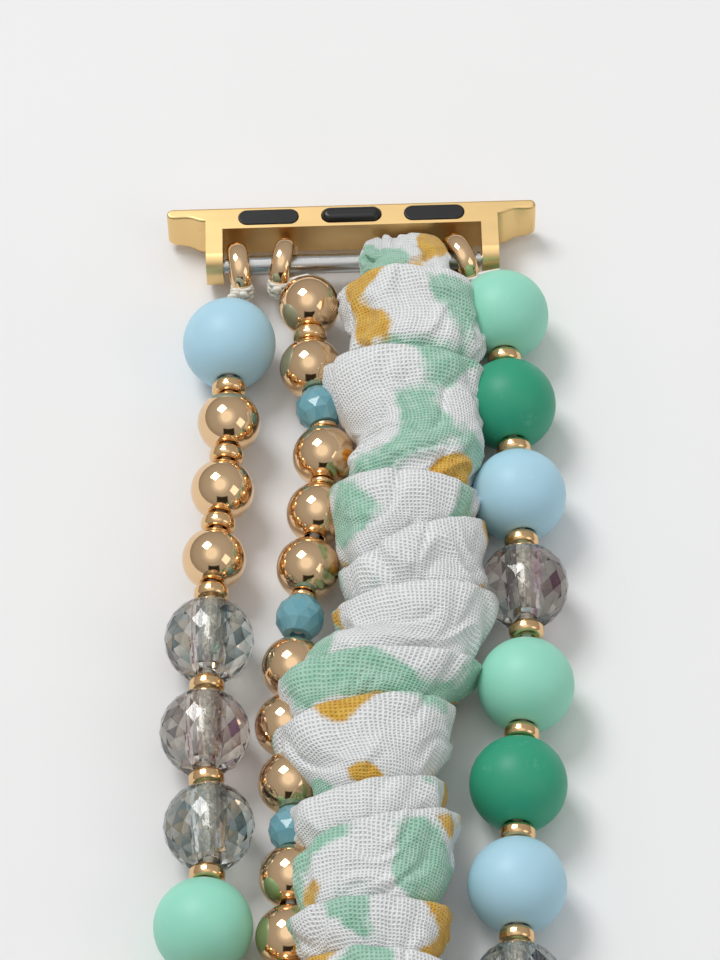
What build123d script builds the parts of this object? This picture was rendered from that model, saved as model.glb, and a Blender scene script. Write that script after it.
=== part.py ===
# Elastic watch band: two lug adapters on sprung bars, three bead strands and a gathered sleeve.
# Millimetres. +X runs across the band, +Y out of the upper lug, +Z out of the band's face.
# The origin is the middle of the upper lug's back face, level with the bars.

import math
import os

from build123d import *

os.makedirs("parts", exist_ok=True)

# Lug adapter
lug_length = 24.3
lug_thickness = 2.8
lug_strip_depth = 1.7
wing_top_depth = 1.04
wing_tip_round = 0.4
wing_belly_share = 0.7
arm_gap = 17.0
arm_thickness = 1.1
arm_beyond_bar = 1.0
arm_end_round = 1.1
wall_to_bar = 2.05
lug_edge_round = 0.18
pin_hole_depth = 0.85

# Pads and latch on the lug's top face
oval_length = 4.0
oval_width = 1.2
oval_setback = 0.87
pad_spacing = 5.45
pad_depth = 0.8
pad_clearance = 0.03
pad_crown = 0.08
latch_clearance = 0.06
latch_dome = 0.35
latch_lip = 0.6
latch_ear = 0.4
latch_ear_thickness = 0.5
latch_floor = 0.4
latch_spring_spacing = 2.4
latch_spring_radius = 0.4
latch_spring_wire = 0.14
latch_spring_turns = 2

# Sprung bar
bar_radius = 0.65
bar_bore = 0.42
bar_half_length = 6.9
pin_tip_radius = 0.35
pin_reach = 0.7
pin_stem_radius = 0.38
pin_stem_length = 2.5
pin_collar_radius = 0.5
pin_collar_width = 0.26
pin_collar_gap = 0.14
pin_collar_setback = 0.1
pin_fit = 0.05
bar_spring_radius = 0.3
bar_spring_wire = 0.12
bar_spring_turns = 10
bar_spring_half_length = 3.4

# Rings that hang the strands on the bars
ring_wire_radial = 0.75
ring_wire_axial = 1.3
ring_outer_radius = 2.0
left_ring_place = -7.5
inner_ring_place = -4.5
right_ring_place = 6.98
left_ring_pull = 0.45
ring_pull = 0.2
left_mouth_distance = 3.2
inner_mouth_distance = 1.7
right_mouth_distance = 1.75

# Beads
matte_radius = 3.0
matte_bore = 0.75
gold_radius = 2.02
gold_bore = 0.6
crystal_radius = 2.8
crystal_bore = 0.75
crystal_sides = 16
crystal_rows = 6
crystal_cap_angle = 66.0
rondelle_radius = 1.55
rondelle_end_radius = 0.95
rondelle_length = 2.5
rondelle_belt = 0.7
rondelle_bore = 0.5
rondelle_sides = 12
spacer_radius = 1.1
spacer_width = 1.0
spacer_round = 0.4
spacer_bore = 0.55
thin_radius = 0.85
thin_width = 0.4
thin_round = 0.18
thin_bore = 0.5
bore_edge = 0.12

# Elastic cords
cord_radius = 0.3
sleeve_elastic_radius = 0.6
knot_radius = 0.85
knot_grip = 0.03
tail_end = 8.2
cord_end_gap = 0.3
arc_share = 0.45

# Strand levels above the table on which the band lies
bar_height = 2.05
strand_level = matte_radius - bar_height
sleeve_level = 2.05
sleeve_half_height = 3.55

# Spans of the band, counted down from the upper bar
upper_span = 28.95
second_span = 41.4
third_span = 41.0
lower_span = 30.2
hinge_gap = 0.16
hinge_lead = 3.85

# Gathered sleeve
sleeve_half_width = 4.4
sleeve_bore = 0.85
loop_inner_radius = 0.95
loop_outer_radius = 1.7
loop_left = 0.9
loop_right = 5.7
loop_neck = 2.5
loop_neck_height = 1.5
neck_width_share = 0.93
sleeve_start = 2.85
corridor_clearance = 0.3
overrun = 1.0

# Places that follow from the sizes above
lug_to_bar = lug_strip_depth + wall_to_bar
arm_reach = lug_to_bar + arm_beyond_bar
arm_centre = arm_gap / 2 + arm_thickness / 2
arm_outside = arm_gap / 2 + arm_thickness
half_thickness = lug_thickness / 2
spans = [upper_span, second_span, third_span, lower_span]
span_starts = [sum(spans[:index]) for index in range(len(spans))]
band_length = sum(spans)
mid_plane = Plane.XZ.offset(lug_to_bar + band_length / 2)
letters = ["a", "b", "c", "d"]

# Routes of the cords: distance down from the upper bar, then place across the band
left_route = [(0, -8.05), (14, -8.23), (24, -9.35), (36, -9.94), (43, -9.65), (52, -10.33), (72, -10.5),
              (92, -9.6), (112, -9.4), (128, -8.05), (band_length, -8.05)]
inner_route = [(0, -2.9), (9.3, -2.9), (14, -2.03), (19, -2.47), (27, -3.86), (35, -4.85), (43, -4.55),
               (52, -5.13), (72, -4.8), (90, -4.5), (112, -3.7), (130, -2.9), (band_length, -2.9)]
right_route = [(0, 9.6), (9, 9.6), (19, 10.08), (31, 10.14), (39, 9.2), (52, 8.52), (72, 9.3),
               (92, 9.2), (110, 10.15), (130, 9.6), (band_length, 9.6)]
sleeve_route = [(0, 3.3), (10, 3.3), (20, 3.4), (29, 3.17), (38, 0.44), (52, 0.02), (72, 0.7),
                (92, 0.6), (112, 1.4), (128, 3.3), (band_length, 3.3)]

# Each tie: the ring's place across the bar, its turn in degrees, its pull down the band,
# and where the cord turns into its first bead
ties = {
    "left": {"place": left_ring_place, "turn": 6.0, "pull": left_ring_pull,
             "mouth": (left_route[0][1], left_mouth_distance)},
    "inner": {"place": inner_ring_place, "turn": -12.0, "pull": ring_pull,
              "mouth": (inner_route[0][1], inner_mouth_distance)},
    "right": {"place": right_ring_place, "turn": 24.0, "pull": ring_pull,
              "mouth": (right_route[0][1], right_mouth_distance)},
}

# Order of the beads: b, m, d for blue, mint and dark green, g gold, c crystal, r rondelle,
# s spacer, t thin ring. A first letter in capitals belongs to the span before.
left_beads = ["b s g s g s g s c", "C s c s c s m s g s g s g s c",
              "C s c s c s d s g s g s g s c", "C s c s b s g s g"]
inner_beads = ["g s g r t g t g g t r", "g g g r g g g r g g g",
               "r g t g t g r g t g t g r g t g", "g t r t g t g t g t r t g"]
right_beads = ["m s d s b s c s", "m s d s b s c s m s d s", "b s c s m s d s b s c s",
               "m s d s b s c"]

# The sleeve's puffs: place down the span, sideways, width and height, as shares
sleeve_shares = [
    [(0.0, 0.0, 0.72, 0.62), (0.06, 0.0, 0.9, 0.9), (0.17, 0.12, 0.9, 1.0), (0.2, 0.05, 0.84, 0.88),
     (0.33, -0.06, 1.05, 1.0), (0.5, 0.12, 0.84, 0.86), (0.6, -0.03, 0.95, 0.98),
     (0.76, -0.08, 0.98, 0.95), (0.9, 0.04, 1.03, 0.92), (0.965, 0.02, 0.85, 0.7),
     (0.985, 0.0, 0.6, 0.45)],
    [(0.01, 0.0, 0.62, 0.45), (0.04, 0.08, 0.9, 0.75), (0.13, -0.2, 1.16, 1.0),
     (0.22, -0.1, 1.1, 0.95), (0.28, 0.04, 0.86, 0.84), (0.34, 0.0, 1.04, 1.0),
     (0.42, 0.0, 1.0, 0.92), (0.47, -0.04, 0.94, 0.86), (0.54, 0.06, 1.05, 1.0),
     (0.63, 0.0, 0.9, 0.86), (0.72, -0.08, 1.06, 1.0), (0.82, 0.05, 0.9, 0.86),
     (0.91, 0.0, 1.04, 0.92), (0.975, 0.0, 0.84, 0.68), (0.99, 0.0, 0.6, 0.42)],
    [(0.01, 0.0, 0.6, 0.42), (0.03, 0.0, 0.84, 0.68), (0.11, 0.06, 1.04, 1.0),
     (0.19, -0.05, 0.88, 0.86), (0.28, -0.08, 1.08, 1.0), (0.38, 0.06, 0.88, 0.86),
     (0.47, 0.08, 1.04, 1.0), (0.56, 0.0, 0.9, 0.84), (0.66, -0.1, 1.08, 1.0),
     (0.75, 0.0, 0.88, 0.86), (0.85, 0.06, 1.05, 1.0), (0.94, 0.0, 0.92, 0.84),
     (0.975, 0.0, 0.84, 0.68), (0.99, 0.0, 0.6, 0.42)],
    [(0.015, 0.0, 0.6, 0.45), (0.04, 0.0, 0.86, 0.72), (0.14, -0.06, 1.05, 1.0),
     (0.24, 0.06, 0.86, 0.86), (0.36, 0.06, 1.02, 1.0), (0.48, -0.04, 0.84, 0.86),
     (0.6, -0.06, 1.04, 1.0), (0.72, 0.04, 0.86, 0.86), (0.84, 0.06, 0.98, 1.0),
     (0.94, 0.0, 0.9, 0.9), (1.0, 0.0, 0.72, 0.62)],
]


def save(piece, name):
    """Label a finished piece and write its file."""
    piece.label = name
    export_step(piece, "parts/" + name + ".step")


def down(distance):
    """The Y of a distance down the band from the upper bar."""
    return -lug_to_bar - distance


def across(route, distance):
    """The X of a route at a distance down the band."""
    for (near, near_x), (far, far_x) in zip(route, route[1:]):
        if distance <= far:
            return near_x + (far_x - near_x) * (distance - near) / (far - near)
    return route[-1][1]


def on_route(route, distance, level):
    return Vector(across(route, distance), down(distance), level)


def bead_place(route, distance, reach):
    """Where a bead sits on its cord, with its hole along the cord."""
    before = on_route(route, distance - reach, strand_level)
    after = on_route(route, distance + reach, strand_level)
    centre = on_route(route, distance, strand_level)
    return Plane(origin=centre, x_dir=(0, 0, 1), z_dir=before - after).location


# Lug adapter

def wing_outline(front_depth):
    """Plan of the lug's strip with its rounded tips, front edge at the given depth."""
    tip = lug_length / 2
    belly = ((tip + arm_outside) / 2, -front_depth * wing_belly_share)
    with BuildLine() as outline:
        back = Line((0, 0), (tip - wing_tip_round, 0))
        right_tip = TangentArc(back @ 1, (tip, -wing_tip_round), tangent=(1, 0))
        right_front = Spline(right_tip @ 1, belly, (arm_outside, -front_depth),
                             tangents=[(0, -1), (-1, 0)])
        Line(right_front @ 1, (0, -front_depth))
        mirror(about=Plane.YZ)
    make_face(outline.edges())


oval_face = Plane.XY.offset(half_thickness)
latch_lip_plane = Plane.XY.offset(half_thickness - latch_lip)
latch_floor_z = -half_thickness + latch_floor
ear_length = oval_length + 2 * latch_ear

with BuildPart() as lug_upper:
    with BuildSketch(Plane.XY.offset(-half_thickness)):
        wing_outline(lug_strip_depth)
    with BuildSketch(Plane.XY.offset(half_thickness)):
        wing_outline(wing_top_depth)
    loft(ruled=True)
    with BuildSketch(Plane.XY.offset(-half_thickness)):
        with Locations((0, -lug_strip_depth / 2)):
            Rectangle(2 * arm_outside, lug_strip_depth)
        with Locations((arm_centre, -arm_reach / 2), (-arm_centre, -arm_reach / 2)):
            Rectangle(arm_thickness, arm_reach)
    extrude(amount=lug_thickness)
    fillet(lug_upper.edges().filter_by(Axis.X).group_by(Axis.Y)[0], arm_end_round)
    fillet(lug_upper.faces().sort_by(Axis.Y)[-1].edges().filter_by(Axis.X), lug_edge_round)
    with BuildSketch(oval_face):
        with Locations((-pad_spacing, -oval_setback), (pad_spacing, -oval_setback)):
            SlotOverall(oval_length, oval_width)
    extrude(amount=-pad_depth, mode=Mode.SUBTRACT)
    with BuildSketch(oval_face):
        with Locations((0, -oval_setback)):
            SlotOverall(oval_length, oval_width)
    extrude(amount=-latch_lip, mode=Mode.SUBTRACT)
    with BuildSketch(latch_lip_plane):
        with Locations((0, -oval_setback)):
            SlotOverall(ear_length, oval_width)
    extrude(amount=latch_floor_z - half_thickness + latch_lip, mode=Mode.SUBTRACT)
    for side in (-1, 1):
        inner_face = Plane(origin=(side * arm_gap / 2, -lug_to_bar, 0), z_dir=(side, 0, 0))
        with BuildSketch(inner_face):
            Circle(pin_tip_radius + pin_fit)
        extrude(amount=pin_hole_depth, mode=Mode.SUBTRACT)

with BuildPart() as pads_upper:
    with BuildSketch(oval_face.offset(-pad_depth)):
        with Locations((-pad_spacing, -oval_setback), (pad_spacing, -oval_setback)):
            SlotOverall(oval_length - 2 * pad_clearance, oval_width - 2 * pad_clearance)
    extrude(amount=pad_depth + pad_crown)
    fillet(pads_upper.faces().group_by(Axis.Z)[-1].edges(), pad_crown)

with BuildPart() as latch_upper:
    with BuildSketch(latch_lip_plane):
        with Locations((0, -oval_setback)):
            SlotOverall(oval_length - 2 * latch_clearance, oval_width - 2 * latch_clearance)
    extrude(amount=latch_lip + latch_dome)
    fillet(latch_upper.faces().sort_by(Axis.Z)[-1].edges(), latch_dome)
    with BuildSketch(latch_lip_plane.offset(-latch_clearance)):
        with Locations((0, -oval_setback)):
            SlotOverall(ear_length - 2 * latch_clearance, oval_width - 2 * latch_clearance)
    extrude(amount=-latch_ear_thickness)
    with BuildSketch(latch_lip_plane.offset(-latch_clearance)):
        with Locations((0, -oval_setback)):
            SlotOverall(oval_length - 2 * latch_clearance, oval_width - 2 * latch_clearance)
    extrude(amount=latch_clearance)

latch_underside = half_thickness - latch_lip - latch_clearance - latch_ear_thickness
latch_spring_height = latch_underside - latch_floor_z - latch_spring_wire
with BuildPart() as latch_springs_upper:
    for side in (-1, 1):
        seat = (side * latch_spring_spacing / 2, -oval_setback, latch_floor_z + latch_spring_wire / 2)
        with BuildLine() as coil:
            Helix(latch_spring_height / latch_spring_turns, latch_spring_height,
                  latch_spring_radius, center=seat)
        with BuildSketch(Plane(origin=coil.line @ 0, z_dir=coil.line % 0)):
            Circle(latch_spring_wire / 2)
        sweep(path=coil.line, is_frenet=True)


# Sprung bar

bar_axis = Plane(origin=(0, -lug_to_bar, 0), x_dir=(0, 0, 1), z_dir=(1, 0, 0))

with BuildPart() as bar_tube_upper:
    with BuildSketch(bar_axis.offset(-bar_half_length)):
        Circle(bar_radius)
        Circle(bar_bore, mode=Mode.SUBTRACT)
    extrude(amount=2 * bar_half_length)

collar_starts = [arm_gap / 2 - pin_collar_setback - pin_collar_width,
                 arm_gap / 2 - pin_collar_setback - 2 * pin_collar_width - pin_collar_gap]
tip_length = arm_gap / 2 + pin_reach - bar_half_length + pin_stem_length
with BuildPart() as pin_right_upper:
    with BuildSketch(bar_axis.offset(bar_half_length - pin_stem_length)):
        Circle(pin_stem_radius)
    extrude(amount=pin_stem_length)
    with BuildSketch(bar_axis.offset(bar_half_length - pin_stem_length)):
        Circle(pin_tip_radius)
    extrude(amount=tip_length)
    for start in collar_starts:
        with BuildSketch(bar_axis.offset(start)):
            Circle(pin_collar_radius)
        extrude(amount=pin_collar_width)

with BuildPart() as pin_left_upper:
    mirror(pin_right_upper.part, about=Plane.YZ)

with BuildPart() as bar_spring_upper:
    with BuildLine() as winding:
        Helix(2 * bar_spring_half_length / bar_spring_turns, 2 * bar_spring_half_length,
              bar_spring_radius, center=bar_axis.offset(-bar_spring_half_length).origin,
              direction=(1, 0, 0))
    with BuildSketch(Plane(origin=winding.line @ 0, z_dir=winding.line % 0)):
        Circle(bar_spring_wire / 2)
    sweep(path=winding.line, is_frenet=True)


# Rings and the ties of the elastic

ring_mid_radius = ring_outer_radius - ring_wire_radial / 2

with BuildPart() as ring:
    with BuildSketch(Plane.XZ):
        with Locations((ring_mid_radius, 0)):
            Ellipse(ring_wire_radial / 2, ring_wire_axial / 2)
    revolve(axis=Axis.Z)

with BuildPart() as ring_in_knot:
    with BuildSketch(Plane.XZ):
        with Locations((ring_mid_radius, 0)):
            Ellipse(ring_wire_radial / 2 + knot_grip, ring_wire_axial / 2 + knot_grip)
    revolve(axis=Axis.Z)


def ring_plane(tie):
    """A ring hangs on the bar, turned about Z and pulled towards its strand."""
    turn = math.radians(tie["turn"])
    heading = Vector(math.sin(turn), -math.cos(turn), 0)
    centre = Vector(tie["place"], down(0), 0) + heading * tie["pull"]
    return Plane(origin=centre, x_dir=heading, z_dir=heading.cross(Vector(0, 0, 1)))


with BuildPart() as rings_upper:
    with Locations(*[ring_plane(tie).location for tie in ties.values()]):
        add(ring.part)


def stud(start, end, radius):
    """A round rod from one point to another."""
    with BuildSketch(Plane(origin=start, z_dir=end - start)) as section:
        Circle(radius)
    extrude(section.sketch, amount=(end - start).length)


with BuildPart() as ties_upper:
    for tie in ties.values():
        hold = ring_plane(tie)
        knot = hold.origin + hold.x_dir * ring_mid_radius
        mouth = Vector(tie["mouth"][0], down(tie["mouth"][1]), strand_level)
        tail = Vector(mouth.X, down(tail_end), strand_level)
        with Locations(knot):
            Sphere(knot_radius)
        with Locations(mouth):
            Sphere(cord_radius)
        stud(knot, mouth, cord_radius)
        stud(mouth, tail, cord_radius)
        with Locations(hold.location):
            add(ring_in_knot.part, mode=Mode.SUBTRACT)
    neck_turn = Vector(sleeve_route[0][1], down(loop_neck), sleeve_level)
    stud(neck_turn, Vector(neck_turn.X, down(tail_end), sleeve_level), sleeve_elastic_radius)

# Sleeve's loop round the bar

loop_length = loop_right - loop_left
with BuildPart() as loop_upper:
    with BuildSketch(bar_axis.offset(loop_left)):
        Circle(loop_outer_radius)
    extrude(amount=loop_length)
    for distance, level in ((0, 0), (loop_neck, sleeve_level)):
        neck = Vector((loop_left + loop_right) / 2, down(distance), level)
        with BuildSketch(Plane(origin=neck, x_dir=(1, 0, 0), z_dir=(0, -1, 0))):
            Ellipse(neck_width_share * loop_length / 2, loop_neck_height)
    loft(ruled=True)
    with BuildSketch(bar_axis.offset(loop_left - overrun)):
        Circle(loop_inner_radius)
    extrude(amount=loop_length + 2 * overrun, mode=Mode.SUBTRACT)


# Templates of the beads

with BuildPart() as matte_bead:
    Sphere(matte_radius)
    Cylinder(matte_bore, 2 * matte_radius, mode=Mode.SUBTRACT)
    fillet(matte_bead.edges().filter_by(GeomType.CIRCLE), bore_edge)

with BuildPart() as gold_bead:
    Sphere(gold_radius)
    Cylinder(gold_bore, 2 * gold_radius, mode=Mode.SUBTRACT)
    fillet(gold_bead.edges().filter_by(GeomType.CIRCLE), bore_edge)

with BuildPart() as crystal_bead:
    for row in range(crystal_rows + 1):
        latitude = math.radians(crystal_cap_angle * (2 * row / crystal_rows - 1))
        with BuildSketch(Plane.XY.offset(crystal_radius * math.sin(latitude))):
            RegularPolygon(crystal_radius * math.cos(latitude), crystal_sides)
    loft(ruled=True)
    Cylinder(crystal_bore, 2 * crystal_radius, mode=Mode.SUBTRACT)

rondelle_levels = [(-rondelle_length / 2, rondelle_end_radius), (-rondelle_belt / 2, rondelle_radius),
                   (rondelle_belt / 2, rondelle_radius), (rondelle_length / 2, rondelle_end_radius)]
with BuildPart() as rondelle_bead:
    for level, radius in rondelle_levels:
        with BuildSketch(Plane.XY.offset(level)):
            RegularPolygon(radius, rondelle_sides)
    loft(ruled=True)
    Cylinder(rondelle_bore, rondelle_length, mode=Mode.SUBTRACT)


def donut(bore, radius, width, corner):
    """A ring with a rounded rim."""
    with BuildSketch(Plane.XZ) as section:
        with Locations(((bore + radius) / 2, 0)):
            Rectangle(radius - bore, width)
        fillet(section.vertices().group_by(Axis.X)[-1], corner)
    revolve(section.sketch, axis=Axis.Z)


with BuildPart() as spacer_bead:
    donut(spacer_bore, spacer_radius, spacer_width, spacer_round)

with BuildPart() as thin_bead:
    donut(thin_bore, thin_radius, thin_width, thin_round)

templates = {"b": matte_bead, "m": matte_bead, "d": matte_bead, "g": gold_bead, "c": crystal_bead,
             "r": rondelle_bead, "s": spacer_bead, "t": thin_bead}
ball_radii = {"b": matte_radius, "m": matte_radius, "d": matte_radius, "g": gold_radius,
              "c": crystal_radius}
crystal_mouth = math.sqrt(crystal_radius ** 2 - crystal_bore ** 2)
matte_mouth = math.sqrt(matte_radius ** 2 - matte_bore ** 2)
gold_mouth = math.sqrt(gold_radius ** 2 - gold_bore ** 2)
mouths = {"b": matte_mouth, "m": matte_mouth, "d": matte_mouth, "g": gold_mouth, "c": crystal_mouth}
donuts = {"s": (spacer_radius, spacer_width, spacer_round), "t": (thin_radius, thin_width, thin_round)}
half_lengths = {"r": rondelle_length / 2, "s": spacer_width / 2, "t": thin_width / 2}


def seat(one, other):
    """Distance between the centres of two neighbours that touch on the cord."""
    if one in ball_radii and other in ball_radii:
        return ball_radii[one] + ball_radii[other]
    if other in ball_radii:
        one, other = other, one
    if one in ball_radii and other in donuts:
        radius, width, corner = donuts[other]
        on_rim = math.sqrt((ball_radii[one] + corner) ** 2 - (radius - corner) ** 2) - corner
        return max(on_rim, mouths[one]) + width / 2
    if one in ball_radii:
        return mouths[one] + half_lengths[other]
    return half_lengths[one] + half_lengths[other]


def string_beads(order, first, last):
    """Places along the span, the slack shared evenly between the first and the last."""
    kinds = order.split()
    steps = [seat(a.lower(), b.lower()) for a, b in zip(kinds, kinds[1:])]
    slack = (last - first - sum(steps)) / len(steps)
    print("beads", order, "slack", round(slack, 3))
    places = [first]
    for step in steps:
        places.append(places[-1] + step + slack)
    return list(zip(kinds, places))


# First and last bead centres of each strand in each span, from the start of the span
left_first = 6.77
left_last = 5.9
inner_first = 4.0
right_first = 5.2
right_last = 5.0
left_ends = [(left_first, upper_span), (0, second_span), (0, third_span), (0, lower_span - left_last)]
rondelle_inset = hinge_gap + rondelle_length / 2
gold_inset = hinge_gap + gold_radius
inner_ends = [(inner_first, upper_span - rondelle_inset), (gold_inset, second_span - gold_inset),
              (rondelle_inset, third_span - gold_inset), (gold_inset, lower_span - inner_first)]
right_ends = [(right_first, upper_span), (hinge_lead, second_span), (hinge_lead, third_span),
              (hinge_lead, lower_span - right_last)]
strands = [(left_route, left_beads, left_ends), (inner_route, inner_beads, inner_ends),
           (right_route, right_beads, right_ends)]

# Where each cord starts and stops in a span, from the hinges at its ends
left_cords = (crystal_mouth + cord_end_gap, crystal_mouth - cord_end_gap)
inner_cords = (hinge_gap + cord_end_gap, -hinge_gap - cord_end_gap)
right_cords = (hinge_lead - matte_radius + cord_end_gap, spacer_width / 2 - cord_end_gap / 2)
sleeve_cords = (cord_end_gap, -cord_end_gap)
cord_runs = [(left_route, left_cords, cord_radius, strand_level),
             (inner_route, inner_cords, cord_radius, strand_level),
             (right_route, right_cords, cord_radius, strand_level),
             (sleeve_route, sleeve_cords, sleeve_elastic_radius, sleeve_level)]


def route_points(route, start, end, level):
    """The route's own points between two distances, with its ends put in."""
    inner = [place for place, _ in route if start < place < end]
    return [on_route(route, place, level) for place in [start] + inner + [end]]


def bend_radii(points):
    """The largest arc that each corner's two runs allow."""
    radii = []
    for before, corner, after in zip(points, points[1:], points[2:]):
        turn = math.radians((corner - before).get_angle(after - corner))
        shorter = min((corner - before).length, (after - corner).length)
        radii.append(arc_share * shorter / math.tan(turn / 2))
    return radii


def cord_along(route, start, end, level, radius, mode=Mode.ADD):
    """A cord of straight runs joined by large arcs."""
    points = route_points(route, start, end, level)
    with BuildLine() as path:
        if len(points) > 2:
            FilletPolyline(*points, radius=bend_radii(points))
        else:
            Line(*points)
    with BuildSketch(Plane(origin=path.line @ 0, z_dir=path.line % 0)) as section:
        Circle(radius)
    sweep(section.sketch, path=path.line, mode=mode)


corridors = [(sleeve_route, sleeve_level, sleeve_bore),
             (inner_route, strand_level, gold_radius + corridor_clearance),
             (right_route, strand_level, matte_radius + corridor_clearance)]
colours = {"blue_beads": "b", "mint_beads": "m", "green_beads": "d", "gold_beads": "g",
           "crystals": "c", "rondelles": "r", "spacers": "st"}

for index, letter in enumerate(letters):
    start = span_starts[index]
    span = spans[index]
    strung = []
    for route, orders, ends in strands:
        for kind, place in string_beads(orders[index], *ends[index]):
            strung.append((kind, bead_place(route, start + place, matte_radius / 2)))
    for name, kinds in colours.items():
        with BuildPart() as beads:
            for kind in kinds:
                with Locations(*[place for bead, place in strung if bead == kind]):
                    add(templates[kind].part)
        save(beads.part, name + "_" + letter)

    with BuildPart() as cords:
        for route, (lead, trail), radius, level in cord_runs:
            first = tail_end + cord_end_gap if index == 0 else start + lead
            last = start + span + trail
            if index == len(spans) - 1:
                last = band_length - tail_end - cord_end_gap
            cord_along(route, first, last, level, radius)
    save(cords.part, "cords_" + letter)

    sleeve_from = sleeve_start if index == 0 else 0
    sleeve_to = span - sleeve_start if index == len(spans) - 1 else span
    sleeve_length = sleeve_to - sleeve_from
    with BuildPart() as sleeve:
        for along, sideways, wide, high in sleeve_shares[index]:
            place = start + sleeve_from + along * sleeve_length
            centre = on_route(sleeve_route, place, sleeve_level)
            centre = centre + Vector(sideways * sleeve_half_width, 0, 0)
            with BuildSketch(Plane(origin=centre, x_dir=(1, 0, 0), z_dir=(0, -1, 0))):
                Ellipse(wide * sleeve_half_width, high * sleeve_half_height)
        loft(ruled=True)
        low = start + sleeve_from - overrun
        high = start + sleeve_to + overrun
        for route, level, radius in corridors:
            cord_along(route, low, high, level, radius, Mode.SUBTRACT)
    save(sleeve.part, "sleeve_" + letter)

# The two ends of the band are mirror images of each other

end_pieces = {"lug_frame": lug_upper, "lug_pads": pads_upper, "latch_button": latch_upper,
              "latch_springs": latch_springs_upper, "bar_tube": bar_tube_upper,
              "bar_pin_left": pin_left_upper, "bar_pin_right": pin_right_upper,
              "bar_spring": bar_spring_upper, "strand_rings": rings_upper,
              "cord_ties": ties_upper, "sleeve_loop": loop_upper}

for name, piece in end_pieces.items():
    save(piece.part, name + "_upper")
    with BuildPart() as mirrored:
        mirror(piece.part, about=mid_plane)
    save(mirrored.part, name + "_lower")
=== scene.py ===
# Looks of the bead watch band: strung beads, gauze sleeve, lug adapters, bars and their light.

import math

import bmesh
import bpy
import numpy as np
from mathutils import Matrix, Vector, noise


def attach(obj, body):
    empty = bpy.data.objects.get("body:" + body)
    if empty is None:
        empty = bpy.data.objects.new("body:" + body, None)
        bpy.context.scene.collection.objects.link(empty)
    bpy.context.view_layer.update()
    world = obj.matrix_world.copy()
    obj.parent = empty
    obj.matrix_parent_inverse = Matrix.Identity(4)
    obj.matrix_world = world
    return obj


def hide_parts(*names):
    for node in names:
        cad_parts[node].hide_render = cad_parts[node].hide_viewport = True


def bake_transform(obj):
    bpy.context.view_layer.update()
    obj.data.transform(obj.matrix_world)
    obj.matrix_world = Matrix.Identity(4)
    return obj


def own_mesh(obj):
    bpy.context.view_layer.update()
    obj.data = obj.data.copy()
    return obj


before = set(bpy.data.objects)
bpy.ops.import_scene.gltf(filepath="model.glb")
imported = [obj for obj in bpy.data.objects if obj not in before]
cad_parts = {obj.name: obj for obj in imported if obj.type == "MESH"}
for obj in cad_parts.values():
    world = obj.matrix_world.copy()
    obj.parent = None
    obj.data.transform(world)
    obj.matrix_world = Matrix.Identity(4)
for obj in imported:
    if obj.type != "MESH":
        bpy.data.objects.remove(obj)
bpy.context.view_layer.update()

MM = 0.001
letters = ["a", "b", "c", "d"]
ends = ["upper", "lower"]
bar_y = -3.75
band_length = 141.55
table_z = -2.05
strand_z = 0.95
sleeve_z = 2.05


def down(distance):
    """The Y of a distance down the band from the upper bar."""
    return bar_y - distance


def put_in_scene(name, data):
    """A new object with this data."""
    thing = bpy.data.objects.new(name, data)
    bpy.context.scene.collection.objects.link(thing)
    return thing


# Camera, floor and light

def place_camera():
    """The photograph's view: from the front, 58 degrees up, close and long."""
    target = Vector((0.062, -21.234, strand_z)) * MM
    elevation = math.radians(57.731)
    distance = 0.289857
    roll = Matrix.Rotation(math.radians(-1.661), 4, "Z")
    film_height = 24.0
    half_picture, focal_length = 480, 4567  # both in pixels
    away = Vector((0, -math.cos(elevation), math.sin(elevation)))
    lens = bpy.data.cameras.new("photo_view")
    camera = put_in_scene("photo_view", lens)
    lens.sensor_fit = "VERTICAL"
    lens.sensor_height = film_height
    lens.lens = film_height / 2 / (half_picture / focal_length)
    lens.clip_start = 0.01
    lens.clip_end = 20
    turn = (-away).to_track_quat("-Z", "Y").to_matrix().to_4x4()
    camera.matrix_world = Matrix.Translation(target + away * distance) @ turn @ roll
    bpy.context.scene.camera = camera


def soft_lamp(name, place, size, watts, colour=(1, 1, 1)):
    """A square soft lamp, aimed at the middle of the photographed stretch."""
    aim = Vector((0, -0.05, 0))
    light = bpy.data.lights.new(name, "AREA")
    light.shape = "SQUARE"
    light.size = size
    light.energy = watts
    light.color = colour
    lamp = put_in_scene(name, light)
    lamp.location = place
    lamp.rotation_euler = (aim - Vector(place)).to_track_quat("-Z", "Y").to_euler()


def studio():
    """Pale floor, soft lamps and a room that the metal can mirror."""
    bpy.context.scene.view_settings.view_transform = "Standard"
    soft_lamp("key_lamp", (-0.3, 0.3, 0.7), 0.32, 3.2)
    soft_lamp("fill_lamp", (0.6, -0.35, 0.5), 0.4, 0.5, (1, 0.98, 0.95))
    half, z = 3.0, table_z * MM
    mesh = bpy.data.meshes.new("floor")
    mesh.from_pydata([(-half, -half, z), (half, -half, z), (half, half, z), (-half, half, z)], [],
                     [(0, 1, 2, 3)])
    floor = put_in_scene("floor", mesh)
    floor.data.materials.append(floor_finish())
    room_light()


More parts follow.
